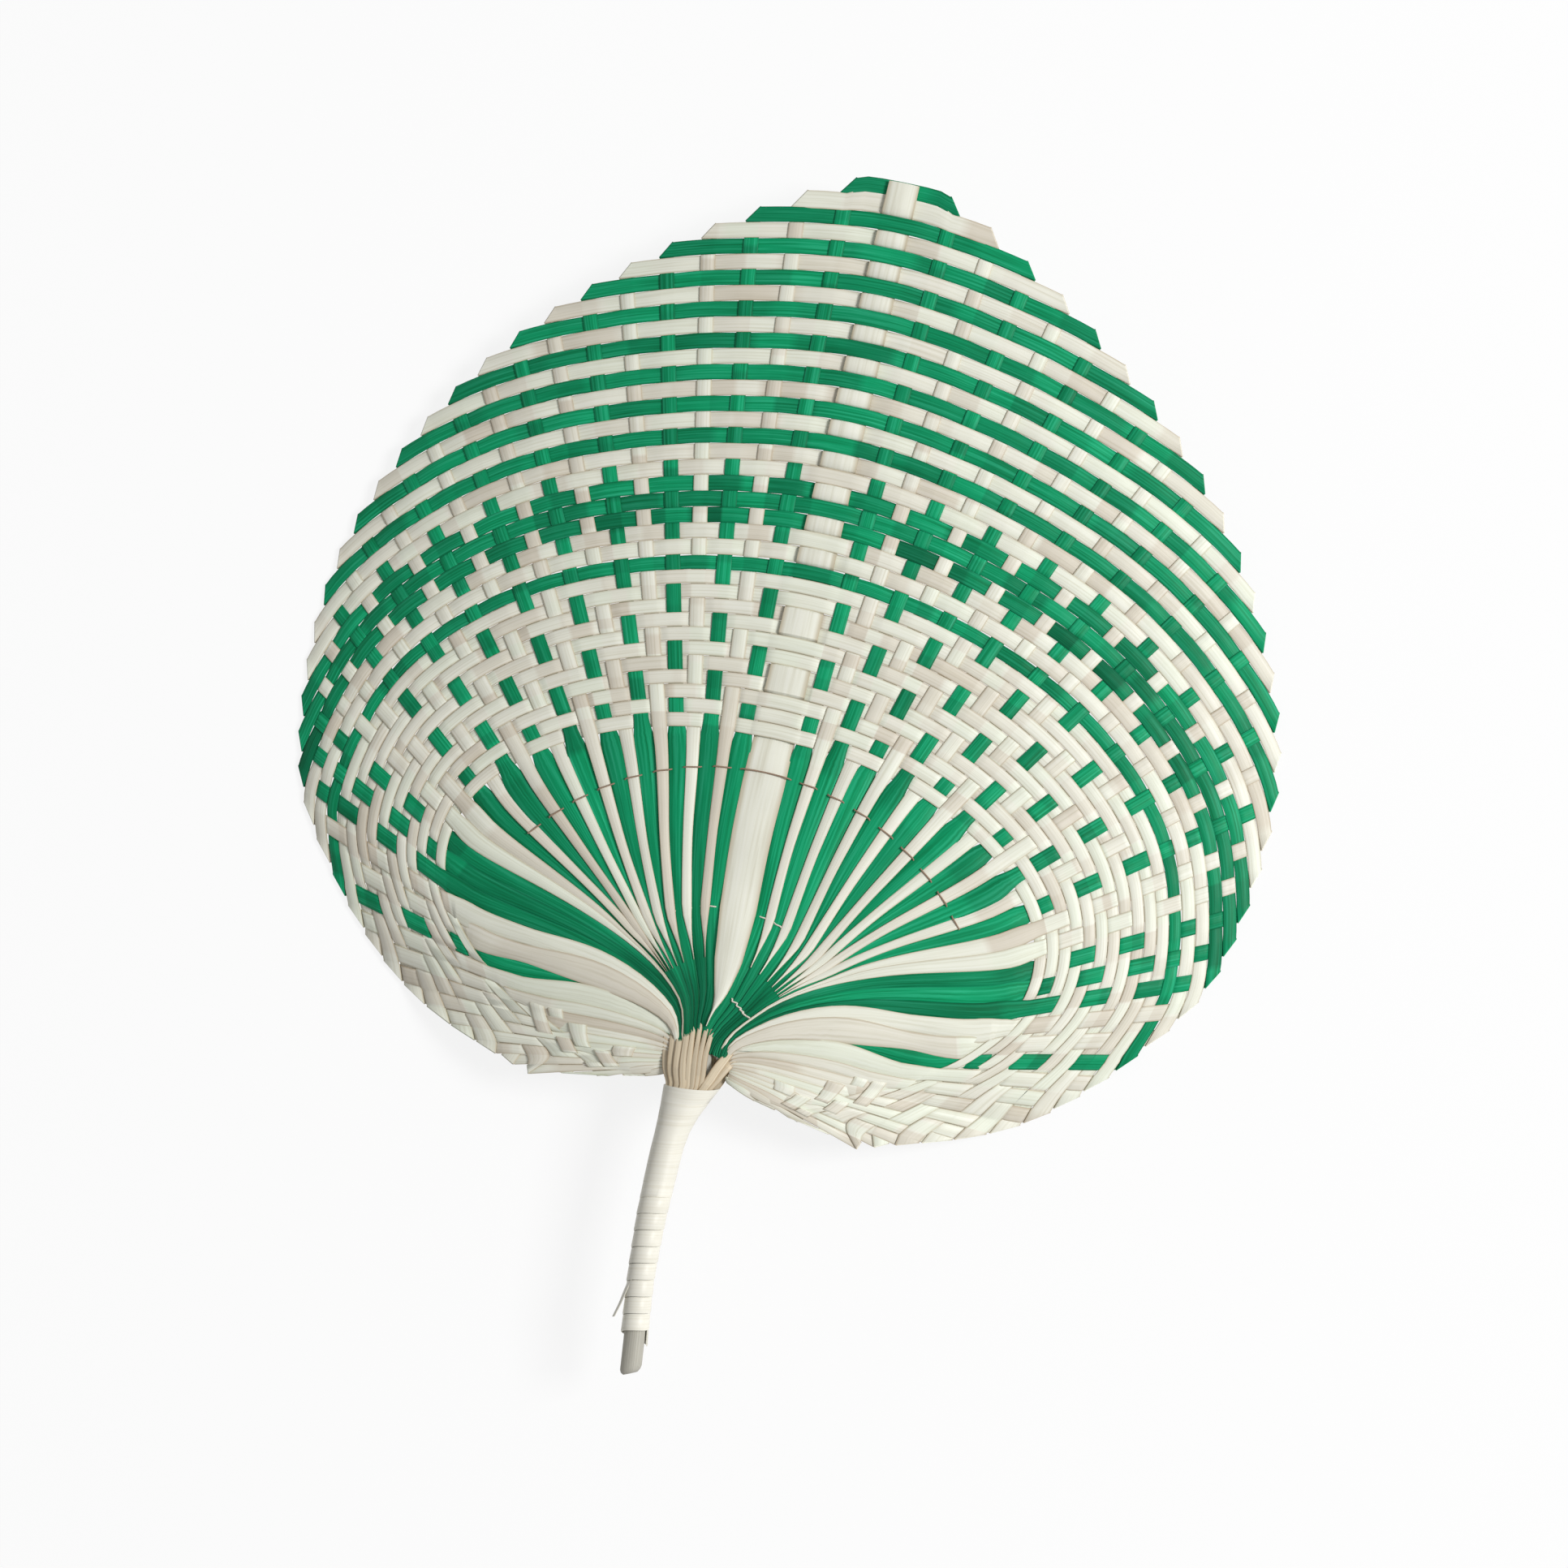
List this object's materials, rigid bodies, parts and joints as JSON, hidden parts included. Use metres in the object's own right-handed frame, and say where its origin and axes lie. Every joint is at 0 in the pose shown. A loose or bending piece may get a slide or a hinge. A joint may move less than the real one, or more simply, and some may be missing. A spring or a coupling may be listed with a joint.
{
  "type": "bamboo hand fan",
  "caption": "Rigid woven bamboo hand fan: domed leaf-shaped blade of interlaced green and natural splints on a bound handle.",
  "frame": {"origin": "middle of the base of the bounding box, the fan lying face up on the rim of its blade", "axes": "+Y from the handle to the apex of the blade, +Z out of the front face, +X to the right"},
  "size_m": [0.281, 0.3454, 0.0271],
  "materials": {
    "green_bamboo": "satin dyed splint",
    "natural_bamboo": "satin bare splint",
    "binding_bamboo": "smooth pale strip",
    "stick_wood": "bare dull stick",
    "thread": "cotton thread"
  },
  "bodies": {
    "root": {"green_splint_01": "green_bamboo", "natural_splint_02": "natural_bamboo", "green_splint_03": "green_bamboo", "natural_splint_04": "natural_bamboo", "green_splint_05": "green_bamboo", "natural_splint_06": "natural_bamboo", "green_splint_07": "green_bamboo", "natural_splint_08": "natural_bamboo", "green_splint_09": "green_bamboo", "natural_splint_10": "natural_bamboo", "green_splint_11": "green_bamboo", "natural_splint_12": "natural_bamboo", "green_splint_13": "green_bamboo", "natural_splint_14": "natural_bamboo", "green_splint_15": "green_bamboo", "natural_splint_16": "natural_bamboo", "green_splint_17": "green_bamboo", "natural_splint_18": "natural_bamboo", "natural_splint_19": "natural_bamboo", "green_splint_20": "green_bamboo", "green_splint_21": "green_bamboo", "green_splint_22": "green_bamboo", "natural_splint_23": "natural_bamboo", "natural_splint_24": "natural_bamboo", "green_splint_25": "green_bamboo", "natural_splint_26": "natural_bamboo", "natural_splint_27": "natural_bamboo", "natural_splint_28": "natural_bamboo", "natural_splint_29": "natural_bamboo", "natural_splint_30": "natural_bamboo", "natural_splint_31": "natural_bamboo", "natural_splint_32": "natural_bamboo", "natural_splint_33": "natural_bamboo", "natural_splint_34": "natural_bamboo", "natural_splint_35": "natural_bamboo", "natural_splint_36": "natural_bamboo", "central_rib": "natural_bamboo", "outer_spacer_thread": "thread", "inner_spacer_thread": "thread", "neck_stitch": "thread", "handle_stick": "stick_wood", "gathered_tails_right": "natural_bamboo", "gathered_tails_left": "natural_bamboo", "handle_binding": "binding_bamboo"}
  },
  "joints": []
}
